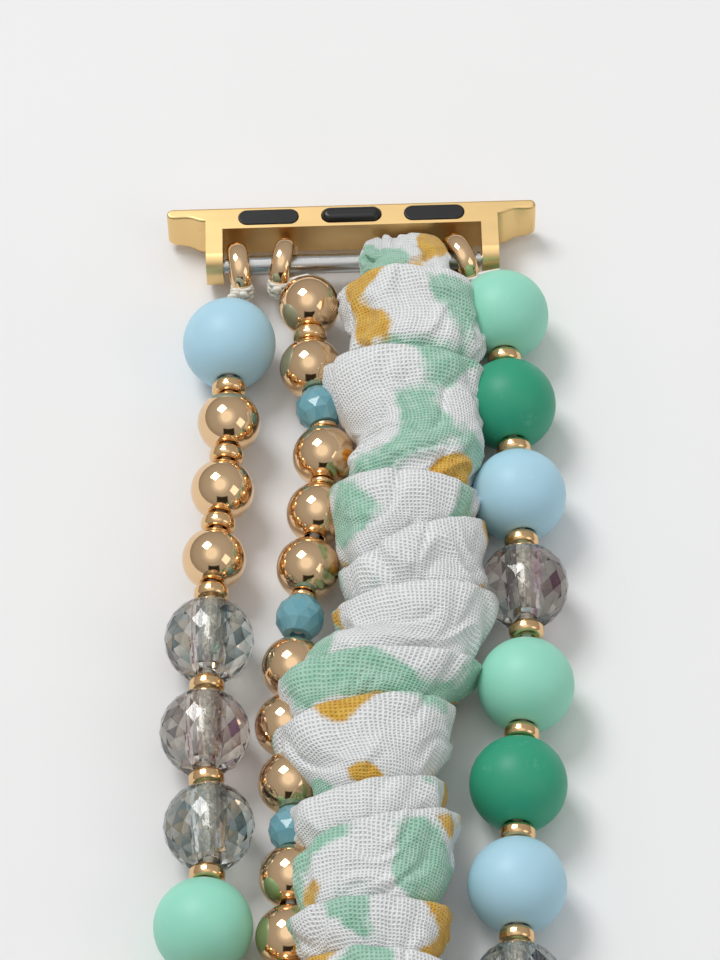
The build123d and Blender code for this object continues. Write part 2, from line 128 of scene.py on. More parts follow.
def room_light():
    """A pale room with a glow overhead and a dark doorway in front, for the metal to mirror."""
    overhead = Vector((-0.12, -0.16, 0.98)).normalized()
    door_level = 0.34
    world = bpy.data.worlds.new("room")
    bpy.context.scene.world = world
    world.use_nodes = True
    tree = world.node_tree
    where = add_node(tree, "TexCoord").outputs["Generated"]
    split = add_node(tree, "SeparateXYZ", {0: where})
    shade = ramp_node(tree, window(tree, split.outputs["Z"], -1.0, 1.0),
                      [(0.0, rgb(205, 200, 196)), (0.5, rgb(196, 190, 184)),
                       (0.66, rgb(222, 221, 220)), (1.0, rgb(246, 247, 248))])
    toward = add_node(tree, "VectorMath", {0: where, 1: overhead}, operation="DOT_PRODUCT")
    glow = ramp_node(tree, window(tree, toward.outputs["Value"], 0.80, 1.0),
                     [(0.0, grey(0.0)), (0.55, grey(0.35)), (0.8, grey(1.0))])
    lit = mix_node(tree, 1.0, shade, glow, "ADD")
    across = math_node(tree, "ABSOLUTE", split.outputs["X"])
    above = math_node(tree, "SUBTRACT", split.outputs["Z"], door_level)
    away = math_node(tree, "ABSOLUTE", above)
    doorway = window(tree, across, 0.36, 0.30)
    for edge in (window(tree, away, 0.25, 0.21), window(tree, split.outputs["Y"], 0.0, -0.1)):
        doorway = math_node(tree, "MULTIPLY", doorway, edge)
    sky = tree.nodes["Background"]
    tree.links.new(mix_node(tree, doorway, lit, rgb(66, 64, 56)), sky.inputs["Color"])
    sky.inputs["Strength"].default_value = 0.57


# Shader nodes

def feed(tree, value, socket):
    """Give an input another node's output, or a plain value."""
    if hasattr(value, "is_linked"):
        tree.links.new(value, socket)
    else:
        socket.default_value = value


def add_node(tree, kind, inputs=None, **settings):
    """A shader node with its settings and inputs."""
    node = tree.nodes.new("ShaderNode" + kind)
    for name, value in settings.items():
        setattr(node, name, value)
    for name, value in (inputs or {}).items():
        feed(tree, value, node.inputs[name])
    return node


def math_node(tree, operation, *values, **settings):
    """The result of a sum."""
    node = add_node(tree, "Math", dict(enumerate(values)), operation=operation, **settings)
    return node.outputs[0]


def window(tree, value, low, high):
    """Zero at low, one at high."""
    node = add_node(tree, "MapRange", {"Value": value, "From Min": low, "From Max": high})
    return node.outputs["Result"]


def noise_node(tree, vector, scale, detail=2.0, roughness=0.5, output=0):
    """Noise, as one value or as a colour."""
    node = add_node(tree, "TexNoise", {"Vector": vector, "Scale": scale, "Detail": detail,
                                       "Roughness": roughness})
    return node.outputs[output]


def ramp_node(tree, factor, stops):
    """The colour at a factor between stops."""
    node = add_node(tree, "ValToRGB", {0: factor})
    ramp = node.color_ramp
    while len(ramp.elements) < len(stops):
        ramp.elements.new(0.5)
    for element, (place, colour) in zip(ramp.elements, stops):
        element.position = place
        element.color = colour
    return node.outputs[0]


def mix_node(tree, factor, one, other, blend_type="MIX"):
    """Mix two colours, each a socket or a plain value."""
    node = add_node(tree, "Mix", {0: factor}, data_type="RGBA", blend_type=blend_type)
    colour_inputs = [socket for socket in node.inputs if socket.type == "RGBA"]
    for socket, value in zip(colour_inputs, (one, other)):
        feed(tree, value, socket)
    return [socket for socket in node.outputs if socket.type == "RGBA"][0]


def object_place(tree):
    """Where a point lies on its own piece."""
    return add_node(tree, "TexCoord").outputs["Object"]


def add_bumps(tree, shader, height, strength, depth):
    """Bumps from a height, on the shader's normal."""
    bumps = add_node(tree, "Bump", {"Strength": strength, "Distance": depth, "Height": height})
    tree.links.new(bumps.outputs[0], shader.inputs["Normal"])


def rgb(red, green, blue):
    """A colour from its display values, 0 to 255."""
    def linear(value):
        value /= 255
        return value / 12.92 if value <= 0.04045 else ((value + 0.055) / 1.055) ** 2.4
    return (linear(red), linear(green), linear(blue), 1.0)


def grey(value):
    """A grey from its linear value."""
    return (value, value, value, 1)


# Materials

def new_finish(name, **sockets):
    """A material whose plain values sit on its own shader."""
    material = bpy.data.materials.new(name)
    material.use_nodes = True
    shader = material.node_tree.nodes["Principled BSDF"]
    for socket, value in sockets.items():
        shader.inputs[socket.replace("_", " ")].default_value = value
    return material, material.node_tree, shader


def new_group(name, inputs, outputs):
    """A shader group with named sockets, and its two end nodes."""
    group = bpy.data.node_groups.new(name, "ShaderNodeTree")
    for label, kind, value in inputs:
        socket = group.interface.new_socket(label, in_out="INPUT", socket_type="NodeSocket" + kind)
        if value is not None:
            socket.default_value = value
    for label, kind in outputs:
        group.interface.new_socket(label, in_out="OUTPUT", socket_type="NodeSocket" + kind)
    return group, group.nodes.new("NodeGroupInput"), group.nodes.new("NodeGroupOutput")


def place_group(tree, group, **values):
    """A shader group in a material, with its inputs."""
    node = add_node(tree, "Group", node_tree=group)
    for label, value in values.items():
        node.inputs[label.replace("_", " ")].default_value = value
    return node


def wear_group():
    """Handling marks: a tone that drifts, fine scuffs and a light grain."""
    group, entry, leave = new_group(
        "handling marks",
        [("Colour", "Color", (1, 1, 1, 1)), ("Scuff Colour", "Color", (1, 1, 1, 1)),
         ("Scuff Amount", "Float", 0.3), ("Roughness", "Float", 0.4),
         ("Grain Scale", "Float", 4000.0), ("Stretch", "Vector", None)],
        [("Colour", "Color"), ("Roughness", "Float"), ("Height", "Float")])
    given = entry.outputs
    where = object_place(group)
    stretched = add_node(group, "VectorMath", {0: where, 1: given["Stretch"]},
                         operation="MULTIPLY").outputs[0]
    drift = noise_node(group, where, 260.0, 3.0)
    scuffs = noise_node(group, stretched, 900.0, 6.0, 0.7)
    grain = noise_node(group, stretched, given["Grain Scale"], 2.0)
    tone = ramp_node(group, drift, [(0.3, grey(0.93)), (0.7, grey(1.0))])
    toned = mix_node(group, 1.0, given["Colour"], tone, "MULTIPLY")
    scuffed = ramp_node(group, scuffs, [(0.6, grey(0.0)), (0.78, grey(1.0))])
    amount = math_node(group, "MULTIPLY", scuffed, given["Scuff Amount"])
    swing = add_node(group, "MapRange", {"Value": scuffs, "To Min": -0.06, "To Max": 0.06})
    rough = math_node(group, "ADD", given["Roughness"], swing.outputs[0], use_clamp=True)
    for label, value in (("Colour", mix_node(group, amount, toned, given["Scuff Colour"])),
                         ("Roughness", rough), ("Height", grain)):
        group.links.new(value, leave.inputs[label])
    return group


def marked_finish(name, marks, colour, scuff, amount, rough, grain, bump, stretch=(1, 1, 1),
                  **sockets):
    """A finish whose colour, gloss and bump come from the handling marks."""
    mark_depth = 0.00002
    material, tree, shader = new_finish(name, **sockets)
    node = place_group(tree, marks, Colour=colour, Scuff_Colour=scuff, Scuff_Amount=amount,
                       Roughness=rough, Grain_Scale=grain, Stretch=stretch)
    tree.links.new(node.outputs["Colour"], shader.inputs["Base Color"])
    tree.links.new(node.outputs["Roughness"], shader.inputs["Roughness"])
    add_bumps(tree, shader, node.outputs["Height"], bump, mark_depth)
    return material


def floor_finish():
    """A pale table with a faint mottle."""
    material, tree, shader = new_finish("pale floor", Roughness=0.9)
    mottle = noise_node(tree, object_place(tree), 60.0)
    tone = ramp_node(tree, mottle, [(0.0, rgb(238, 238, 238)), (1.0, rgb(242, 242, 242))])
    tree.links.new(tone, shader.inputs["Base Color"])
    return material


def crystal_finish(name, *tints_and_painted_reflections, clear=0.95, gloss=0.01, middle=None):
    """Cut glass with a coating: each facet picks a tone by the way it faces. The tones are partly
    the coating's tints and partly painted reflection and shade (the dark and pale greys), and
    middle facets can stay clear, so the sideways facets read darker as painted shade.
    """
    material, tree, shader = new_finish(name, Roughness=gloss, Transmission_Weight=clear, IOR=1.52)
    facing = add_node(tree, "NewGeometry").outputs["True Normal"]
    facets = noise_node(tree, facing, 3.4, 0.0)
    facet_colours = []
    # Each set of tones mixes the coating's tints with greys that are painted reflections and shade,
    # picked at random per facet
    for tones_and_reflections in tints_and_painted_reflections:
        last = len(tones_and_reflections) - 1
        facet_colours.append(ramp_node(tree, facets, [(0.30 + 0.4 * place / last, tint)
                                               for place, tint in enumerate(tones_and_reflections)]))
    colour = facet_colours[0]
    for other in facet_colours[1:]:
        patch = noise_node(tree, object_place(tree), 95.0, 0.0)
        share = ramp_node(tree, patch, [(0.47, grey(0.0)), (0.55, grey(1.0))])
        colour = mix_node(tree, share, colour, other)
    # Facets that don't face sideways get the clear middle colour, so the sideways facets keep the
    # darker tones: painted shade on the crystal's sides
    if middle:
        split = add_node(tree, "SeparateXYZ", {0: facing})
        side = math_node(tree, "ABSOLUTE", split.outputs["X"])
        colour = mix_node(tree, window(tree, side, 0.42, 0.30), colour, middle)
    tree.links.new(colour, shader.inputs["Base Color"])
    return material


def elastic_finish():
    """White elastic whose winding shows as fine ribs, with painted shade in the hollows between the
    windings.
    """
    material, tree, shader = new_finish("wound elastic", Roughness=0.6)
    ribs = add_node(tree, "TexWave", {"Vector": object_place(tree), "Scale": 900.0,
                                      "Distortion": 1.5},
                    wave_type="BANDS", bands_direction="Y").outputs[0]
    # Darker where the ribs are low: painted shade in the grooves of the winding
    tone = ramp_node(tree, ribs, [(0.0, rgb(205, 198, 182)), (0.6, rgb(240, 238, 230))])
    tree.links.new(tone, shader.inputs["Base Color"])
    add_bumps(tree, shader, ribs, 0.4, 0.00008)
    return material


def gauze_finish():
    """Open crinkled gauze, white, with soft green and yellow blotches, and painted shade in the
    open holes of its weave.
    """
    material, tree, shader = new_finish("printed gauze", Roughness=0.92, Sheen_Weight=0.25)
    where = add_node(tree, "UVMap").outputs[0]
    crinkle = noise_node(tree, where, 0.55, output="Color")
    shift = add_node(tree, "VectorMath", {0: crinkle, "Scale": 0.22}, operation="SCALE")
    wavy = add_node(tree, "VectorMath", {0: where, 1: shift.outputs[0]}, operation="ADD")
    threads = []
    for direction in ("X", "Y"):
        wave = add_node(tree, "TexWave",
                        {"Vector": wavy.outputs[0], "Scale": 1.3, "Distortion": 1.7, "Detail": 2.0,
                         "Detail Scale": 1.4}, wave_type="BANDS", bands_direction=direction)
        threads.append(wave.outputs["Fac"])
    weave = math_node(tree, "MAXIMUM", *threads)
    slubs = noise_node(tree, where, 2.6, 3.0, 0.65)
    height = math_node(tree, "MULTIPLY_ADD", slubs, 0.6, weave)
    # The gaps between the threads are painted grey: painted shade seen through the open holes,
    # multiplied into the cloth's colour
    shaded_gaps = ramp_node(tree, weave, [(0.04, grey(0.42)), (0.18, grey(0.93)), (0.34, grey(1.0))])
    dye = noise_node(tree, where, 1.2, 4.0, 0.6)
    cloth = rgb(243, 245, 245)
    for offset, scale, low, high, colour, deep in (
            ((0.0, 3.2, 0.0), 0.125, 0.585, 0.617, rgb(182, 222, 202), rgb(150, 206, 178)),
            ((37.0, 11.0, 5.0), 0.15, 0.64, 0.667, rgb(236, 192, 84), rgb(218, 160, 48))):
        moved = add_node(tree, "VectorMath", {0: where, 1: offset}, operation="ADD")
        blotch = noise_node(tree, moved.outputs[0], scale, 1.0, 0.4)
        edge = math_node(tree, "MULTIPLY_ADD", dye, 0.07, blotch)
        mask = ramp_node(tree, edge, [(low, grey(0)), (high, grey(1))])
        tone = ramp_node(tree, dye, [(0.35, colour), (0.7, deep)])
        cloth = mix_node(tree, mask, cloth, tone)
    tree.links.new(mix_node(tree, 1.0, cloth, shaded_gaps, "MULTIPLY"), shader.inputs["Base Color"])
    add_bumps(tree, shader, height, 0.7, 0.00015)
    return material


# Meshes of turned and cut beads

golden_turn = 2.399963  # in radians


def solid_centres(node):
    """Centre and bore direction of each separate solid in a node, down the band."""
    work = bmesh.new()
    work.from_mesh(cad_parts[node].data)
    bmesh.ops.remove_doubles(work, verts=work.verts, dist=1e-6)
    work.verts.ensure_lookup_table()
    seen, places = set(), []
    for first in work.verts:
        if first.index in seen:
            continue
        stack, island = [first], []
        seen.add(first.index)
        while stack:
            vertex = stack.pop()
            island.append(vertex.co[:])
            for edge in vertex.link_edges:
                other = edge.other_vert(vertex)
                if other.index not in seen:
                    seen.add(other.index)
                    stack.append(other)
        places.append(bead_pose(np.array(island)))
    work.free()
    return sorted(places, key=lambda place: -place.translation.y)


def bead_pose(points):
    """A bead is shortest along its bore, which lies level and nearly along the band."""
    widest_turn = 50
    best = None
    for step in range(-widest_turn, widest_turn + 1):
        turn = math.radians(step)
        along = np.array([math.sin(turn), math.cos(turn), 0])
        reach = points @ along
        extent = reach.max() - reach.min()
        if best is None or extent < best[0]:
            best = (extent, along)
    centre = Vector((points.max(axis=0) + points.min(axis=0)) / 2)
    turn = Vector(best[1]).to_track_quat("Z", "X").to_matrix().to_4x4()
    return Matrix.Translation(centre) @ turn


def ring_faces(rings, sides, closed=False):
    """Quads from ring to ring, and from the last back to the first if closed."""
    faces = []
    for ring in range(rings if closed else rings - 1):
        near, far = ring * sides, (ring + 1) % rings * sides
        for side in range(sides):
            following = (side + 1) % sides
            faces.append((near + side, near + following, far + following, far + side))
    return faces


def lathe(profile, sides):
    """Points and faces of a closed outline turned about Z."""
    points = []
    for side in range(sides):
        angle = 2 * math.pi * side / sides
        points += [(r * math.cos(angle), r * math.sin(angle), z) for r, z in profile]
    faces = [(a, d, c, b) for a, b, c, d in ring_faces(sides, len(profile), closed=True)]
    return np.array(points), faces


def ball_outline(radius, bore, edge, steps=40):
    """A drilled ball with a small round at the mouths of its bore."""
    start = math.asin((bore + edge) / radius)
    outline = []
    for step in range(steps + 1):
        angle = -math.pi / 2 + start + (math.pi - 2 * start) * step / steps
        outline.append((radius * math.cos(angle), radius * math.sin(angle)))
    mouth = radius * math.cos(start)
    for end, turns in ((1, (35, 70, 90)), (-1, (90, 70, 35))):
        for turn in turns:
            angle = math.radians(turn)
            outline.append((bore + edge * (1 - math.sin(angle)),
                            end * (mouth - edge * 0.9 * (1 - math.cos(angle)))))
    return outline


def facet_ring(row, wide, level, sides):
    """Corners of one row, turned by half a facet in every second row."""
    shift = math.pi / sides * (row % 2)
    return [(wide * math.cos(2 * math.pi * k / sides + shift),
             wide * math.sin(2 * math.pi * k / sides + shift), level) for k in range(sides)]


def cut_ball(radius, bore, cap, rows, sides):
    """A ball cut in offset rows of facets up to the latitude of its caps, with a bore."""
    rings = []
    for row in range(rows + 1):
        latitude = math.radians(cap * (2 * row / rows - 1))
        rings.append(facet_ring(row, radius * math.cos(latitude), radius * math.sin(latitude),
                                sides))
    return cut_form(rings, bore)


def cut_rondelle(radius, end_radius, length, bore, sides):
    """A squat bead: a belt of facets between two bevelled ends."""
    shoulder = radius * 0.93
    outline = [(-0.5, end_radius), (-0.24, shoulder), (0, radius), (0.24, shoulder),
               (0.5, end_radius)]
    rings = [facet_ring(row, wide, level * length, sides)
             for row, (level, wide) in enumerate(outline)]
    return cut_form(rings, bore)


def cut_form(rings, bore):
    """Facets between the rings, flat ends, and the bore through them."""
    sides = len(rings[0])
    points = [point for ring in rings for point in ring]
    faces = []
    for row in range(len(rings) - 1):
        lower, upper = row * sides, (row + 1) * sides
        for k in range(sides):
            n = (k + 1) % sides
            if row % 2 == 0:
                faces += [(lower + k, lower + n, upper + k), (lower + n, upper + n, upper + k)]
            else:
                faces += [(lower + k, lower + n, upper + n), (lower + k, upper + n, upper + k)]
    bottom, top = len(points), len(points) + sides
    for ring in (rings[0], rings[-1]):
        spread = math.hypot(ring[0][0], ring[0][1])
        points += [(x * bore / spread, y * bore / spread, z) for x, y, z in ring]
    last = (len(rings) - 1) * sides
    for k in range(sides):
        n = (k + 1) % sides
        faces += [(n, k, bottom + k, bottom + n), (last + k, last + n, top + n, top + k),
                  (bottom + n, bottom + k, top + k, top + n)]
    return np.array(points), faces


def add_piece(name, points, faces, material, body=None, smooth=True):
    """A mesh piece given in millimetres, put in the scene and on its body."""
    mesh = bpy.data.meshes.new(name)
    mesh.from_pydata((np.asarray(points) * MM).tolist(), [], faces)
    mesh.update()
    piece = put_in_scene(name, mesh)
    mesh.materials.append(material)
    mesh.polygons.foreach_set("use_smooth", [smooth] * len(mesh.polygons))
    if body:
        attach(piece, body)
    return piece


def string_piece(name, node, form, material, body, smooth):
    """One bead shape set at each place of its node, each turned on from the one before."""
    shape, shape_faces = form
    points, faces = [], []
    for index, pose in enumerate(solid_centres(node)):
        turn = np.array(pose @ Matrix.Rotation(index * golden_turn, 4, "Z"))
        start = index * len(shape)
        points.append(shape @ turn[:3, :3].T + turn[:3, 3] / MM)
        faces += [tuple(corner + start for corner in face) for face in shape_faces]
    piece = add_piece(name, np.concatenate(points), faces, material, body, smooth)
    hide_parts(node)


# Gauze sleeve

# Distance down the band, place across it, half width and half height of the sleeve
sleeve_sections = [
    (4.4, 3.3, 3.9, 3.2), (7.4, 4.0, 4.1, 3.5), (11.8, 3.1, 4.7, 3.55), (15.7, 3.95, 3.9, 3.2),
    (18.5, 3.1, 4.15, 3.5), (22.5, 2.9, 4.3, 3.45), (26.0, 3.48, 4.35, 3.4),
    (28.4, 3.24, 4.65, 3.4), (30.5, 3.21, 4.2, 3.3), (32.0, 1.65, 5.2, 3.4),
    (34.3, 0.27, 5.1, 3.55), (38.0, -0.02, 4.95, 3.45), (40.3, 0.55, 3.9, 3.2),
    (42.6, 0.37, 4.6, 3.5), (45.6, 0.26, 4.5, 3.45), (47.8, -0.03, 4.4, 3.4),
    (50.6, -0.23, 4.6, 3.5), (54.0, 0.13, 4.2, 3.3), (58.0, -0.06, 4.7, 3.5),
    (62.0, 0.46, 4.1, 3.3), (66.0, 0.58, 4.6, 3.5), (70.3, 0.59, 4.3, 3.35),
    (75.0, 0.87, 4.6, 3.5), (79.5, 0.49, 4.0, 3.3), (84.0, 0.4, 4.7, 3.5), (88.0, 0.8, 4.1, 3.3),
    (92.5, 0.71, 4.6, 3.5), (97.0, 0.52, 4.1, 3.3), (101.5, 0.94, 4.7, 3.5),
    (106.0, 1.45, 4.1, 3.35), (111.0, 1.38, 4.5, 3.45), (115.5, 1.91, 4.2, 3.4),
    (120.0, 2.35, 4.6, 3.5), (124.5, 3.19, 3.9, 3.3), (129.0, 3.2, 4.4, 3.5),
    (133.5, 3.6, 4.0, 3.45), (137.1, 3.3, 3.9, 3.2)]
# The same with the level in third place: the loop over the bar, from its tucked end on
loop_sections = [
    (1.3, 3.3, -0.95, 1.6, 0.3), (0.0, 3.3, -1.32, 1.8, 0.33), (-1.05, 3.3, -0.75, 1.9, 0.34),
    (-1.35, 3.3, 0.1, 2.0, 0.34), (-1.0, 3.3, 1.05, 2.2, 0.36), (-0.2, 3.35, 1.5, 2.5, 0.46),
    (1.2, 3.4, 1.8, 2.75, 1.0), (2.5, 3.45, 1.95, 2.9, 1.7)]

# Creases as seen: depth, whether it runs all round, and its angles and distances down the band
sleeve_creases = [
    (1.0, True, [(-39, 3.7), (-9, 3.5), (42, 3.9)]),
    (1.5, True, [(-66, 10.2), (-41, 9.7), (-16, 10.1), (9, 10.3), (52, 10.0), (60, 10.7)]),
    (1.7, False, [(-25, 10.4), (-4, 11.9), (7, 13.5), (26, 15.0), (69, 15.8)]),
    (2.0, False, [(-76, 16.6), (-50, 15.4), (-28, 14.6), (-8, 14.9), (8, 15.6)]),
    (1.5, True, [(-76, 19.6), (-48, 19.6), (-26, 20.0), (-6, 20.3), (20, 19.8), (39, 19.9),
                 (68, 20.1)]),
    (1.4, False, [(-76, 24.2), (-42, 23.1), (-25, 22.4), (-6, 21.4), (11, 20.3)]),
    (1.6, False, [(-39, 23.2), (-18, 23.3), (1, 23.2), (19, 22.8), (39, 22.3)]),
    (1.8, True, [(-76, 25.9), (-42, 25.7), (-17, 25.4), (-1, 24.8), (20, 23.8), (51, 22.4)]),
    (2.0, False, [(1, 27.6), (15, 27.1), (32, 26.5), (62, 25.3)]),
    (1.5, True, [(-76, 28.2), (-58, 28.0), (-26, 28.6), (-4, 29.0), (12, 29.1), (32, 28.7),
                 (57, 27.6)]),
    (1.6, True, [(-60, 33.5), (-23, 32.6), (-13, 30.9), (14, 30.7), (36, 30.6), (62, 31.4),
                 (76, 31.6)]),
    (1.4, False, [(-76, 33.8), (-64, 33.7), (-54, 33.0), (-40, 33.2), (-28, 33.4)]),
    (1.2, True, [(-76, 36.4), (-26, 37.1), (-10, 36.8), (7, 36.3), (24, 35.6), (48, 35.2),
                 (66, 35.0)]),
    (2.2, False, [(-46, 40.6), (-31, 39.8), (-18, 39.2), (-5, 39.1), (6, 39.6)]),
    (1.2, True, [(-76, 41.9), (-54, 41.7), (-28, 41.4), (-4, 41.3), (16, 41.2), (76, 40.5)]),
    (1.5, True, [(-54, 45.8), (-35, 44.9), (-22, 44.1), (-9, 44.0), (12, 44.1), (37, 43.4),
                 (57, 42.6)]),
    (1.4, True, [(-55, 49.6), (-36, 48.9), (-13, 48.9), (10, 48.8), (42, 49.1), (76, 49.2)]),
    (2.0, False, [(-27, 51.0), (-11, 50.3), (1, 50.1), (20, 50.1), (33, 50.6)]),
    (1.1, True, [(-64, 52.1), (-29, 52.0), (-11, 52.2), (6, 52.6), (41, 52.9), (72, 52.7)])]

sleeve_sides = 168
ring_step = 0.125
sleeve_radius = 3.9
# How far a crease's valley reaches up and down the band, where its lower lip lies, and how far
# the lip's swell and its lean reach
valley_up, valley_down = 0.85, 0.24
lip_place, lip_reach, lean_reach = 0.35, 0.95, 0.7


def all_creases():
    """The creases as seen, then copies of them, mirrored and moved, down the hidden stretch."""
    creases = list(sleeve_creases)
    for shift, side, phase in ((48.6, -1, 0.0), (97.2, 1, 1.3)):
        for number, (depth, round_it, path) in enumerate(sleeve_creases[1:]):
            bend = 0.7 * math.sin(number * 2.3 + phase)
            moved = sorted(
                (side * angle, place + shift + bend * math.sin(math.radians(angle + 40 * phase)))
                for angle, place in path)
            if max(place for _, place in moved) < band_length - 3.6:
                creases.append((depth, round_it, moved))
    return creases


def smooth_sections():
    """All sections of one half loop, the sleeve and the far half loop, closely spaced."""
    puffs = [(d, x, sleeve_z, w, h) for d, x, w, h in sleeve_sections]
    far = [(band_length - d, x, z, w, h) for d, x, z, w, h in reversed(loop_sections)]
    table = np.array(loop_sections + puffs + far)
    steps = np.linalg.norm(np.diff(table[:, :3], axis=0), axis=1)
    along = np.concatenate([[0], np.cumsum(steps)])
    fine = np.linspace(0, along[-1], int(along[-1] / ring_step))
    return fine, np.stack([catmull(along, column, fine) for column in table.T], axis=1)


def catmull(places, values, wanted):
    """Smooth values between places, through each of them."""
    slopes = np.gradient(values, places)
    index = np.clip(np.searchsorted(places, wanted) - 1, 0, len(places) - 2)
    span = places[index + 1] - places[index]
    u = (wanted - places[index]) / span
    return ((2 * u ** 3 - 3 * u ** 2 + 1) * values[index]
            + (u ** 3 - 2 * u ** 2 + u) * span * slopes[index]
            + (-2 * u ** 3 + 3 * u ** 2) * values[index + 1]
            + (u ** 3 - u ** 2) * span * slopes[index + 1])


def crease_fields(distance, angles):
    """Height of the folds, and how far the lower lip of each crease leans over it."""
    count = len(angles)
    turn = np.degrees(angles)
    turn = np.where(turn > 180, turn - 360, turn)
    order = np.argsort(turn)
    arc = math.radians(1) * sleeve_radius
    valley, lip, lean, swell = (np.zeros((len(distance), count)) for _ in range(4))
    rounds = [np.full(count, 2.0), np.full(count, band_length - 2.5)]
    for depth, round_it, path in all_creases():
        places = np.array(path, float)
        if round_it:
            back = places[[0, -1], 1].mean() + 0.5
            places = np.vstack([(-180, back), (places[0, 0] - 50, places[0, 1] + 0.6), places,
                                (places[-1, 0] + 50, places[-1, 1] + 0.6), (180, back)])
        line = np.empty(count)
        line[order] = np.interp(turn[order], places[:, 0], places[:, 1])
        line = soften(line, 3)
        slope = np.gradient(np.append(line[order], line[order][0]))[:-1] / (arc * 360 / count)
        steep = np.empty(count)
        steep[order] = 1 / np.sqrt(1 + slope ** 2)
        if round_it:
            strength = np.full(count, depth)
            rounds.append(line)
        else:
            part = (turn - places[0, 0]) / (places[-1, 0] - places[0, 0])
            inside = (part > 0) & (part < 1)
            strength = np.where(inside, depth * np.sin(math.pi * np.clip(part, 0, 1)) ** 0.5, 0)
        off = (distance[:, None] - line[None, :]) * steep
        above = 1 / (1 + (off / valley_up) ** 2) - 0.08
        below = np.exp(-(off / valley_down) ** 2)
        valley = np.maximum(valley, strength * np.where(off < 0, above, below))
        edge = np.clip(off / 0.3, 0, 1)
        past_lip = off - lip_place
        lip = np.maximum(lip, strength * 0.5 * edge * np.exp(-(past_lip / lip_reach) ** 2))
        lean = np.maximum(lean, strength * 0.66 * edge * np.exp(-(past_lip / lean_reach) ** 2))
    rounds = np.sort(np.array(rounds), axis=0)
    for column in range(count):
        line = rounds[:, column]
        index = np.clip(np.searchsorted(line, distance), 1, len(line) - 1)
        low, high = line[index - 1], line[index]
        u = np.clip((distance - low) / np.maximum(high - low, 1.2), 0, 1)
        swell[:, column] = (4 * u * (1 - u)) ** 0.6 * np.clip((high - low) / 5, 0.3, 1.1)
    return lip - valley - 0.55 * (1 - swell), lean


def soften(values, reach):
    """Smooth values round the sleeve."""
    weights = np.exp(-(np.arange(-2 * reach, 2 * reach + 1) / reach) ** 2)
    weights /= weights.sum()
    return sum(weight * np.roll(values, step - 2 * reach, axis=-1)
               for step, weight in enumerate(weights))


def gauze_wrinkles(ways, angles):
    """Noise of two sizes, at each way along the sleeve and each angle round it."""
    noise_radius = 1.9
    wrinkle, crinkle = np.zeros((2, len(ways), len(angles)))
    for row, along in enumerate(ways):
        for column, angle in enumerate(angles):
            x, y = noise_radius * math.cos(angle), noise_radius * math.sin(angle)
            warp = noise.noise((x * 0.8, y * 0.8, along * 0.22))
            broad = noise.noise((x * 0.36, y * 0.36, along * 0.5 + 1.4 * warp))
            ridge = noise.noise((x * 0.55 + 5, y * 0.55,
                                 along * 0.34 + 0.9 * math.sin(angle) + warp))
            wrinkle[row, column] = 0.9 - 1.8 * abs(broad) - 2.4 * max(0.0, 0.22 - abs(ridge)) ** 0.8
            crinkle[row, column] = noise.noise((x * 2.2, y * 2.2, along * 2.4))
    return wrinkle, crinkle


def sleeve_grid():
    """Rings of the gathered sleeve, and how far the cloth has run on them."""
    fine, sections = smooth_sections()
    angles = np.linspace(0, 2 * math.pi, sleeve_sides, endpoint=False)
    distance, across, level, wide, high = sections.T
    wide, high = wide[:, None], high[:, None]
    centre = np.stack([across, bar_y - distance, level], axis=1)
    tangent = np.gradient(centre, axis=0)
    tangent[:, 0] *= 0.2
    tangent /= np.linalg.norm(tangent, axis=1)[:, None]
    side = np.tile([1.0, 0, 0], (len(fine), 1))
    side -= tangent * (side * tangent).sum(axis=1)[:, None]
    side /= np.linalg.norm(side, axis=1)[:, None]
    up = np.cross(side, tangent)
    folds, lean = crease_fields(distance, angles)
    wrinkle, crinkle = gauze_wrinkles(fine, angles)
    puff = np.clip((high - 0.5) / 2.4, 0, 1)
    relief = (puff * (0.34 * wrinkle + 0.035 * crinkle + folds)
              + (1 - puff) * (0.5 * wrinkle + 0.08 * crinkle))
    relief = np.clip(relief, -0.6 * high, np.minimum(0.6, 0.32 * high))
    sine, cosine = np.sin(angles)[None, :], np.cos(angles)[None, :]
    flat = np.where(cosine < 0, 0.97, 1.0)
    out_x = (wide + relief) * sine
    out_z = (high * flat + relief) * cosine
    lean = -puff * lean
    points = (centre[:, None, :] + out_x[..., None] * side[:, None, :]
              + out_z[..., None] * up[:, None, :] + lean[..., None] * tangent[:, None, :])
    points[..., 2] = np.maximum(points[..., 2], table_z + 0.12)
    steps = np.linalg.norm(np.diff(points, axis=0), axis=2)
    run = np.concatenate([np.zeros((1, sleeve_sides)), np.cumsum(steps, axis=0)])
    mean = run.mean(axis=1, keepdims=True)
    return distance, points, mean + 0.5 * soften(run - mean, 12)


# Each length of gauze: its name, the nodes it stands for, its two bodies, and where it passes
# from the first to the second
gauze_lengths = [
    ("gauze_top", ("sleeve_loop_upper", "sleeve_a"), "hangers_upper", "span_a", 3.2, 9.5),
    ("gauze_upper", ("sleeve_b",), "span_a", "span_b", 25.0, 33.0),
    ("gauze_middle", ("sleeve_c",), "span_b", "span_c", 66.0, 75.0),
    ("gauze_lower", ("sleeve_d",), "span_c", "span_d", 107.0, 116.0),
    ("gauze_bottom", ("sleeve_loop_lower",), "span_d", "hangers_lower", 132.0, 138.3)]
gauze_cuts = [12.0, 49.0, 90.0, 129.5]
print_width = 27.0


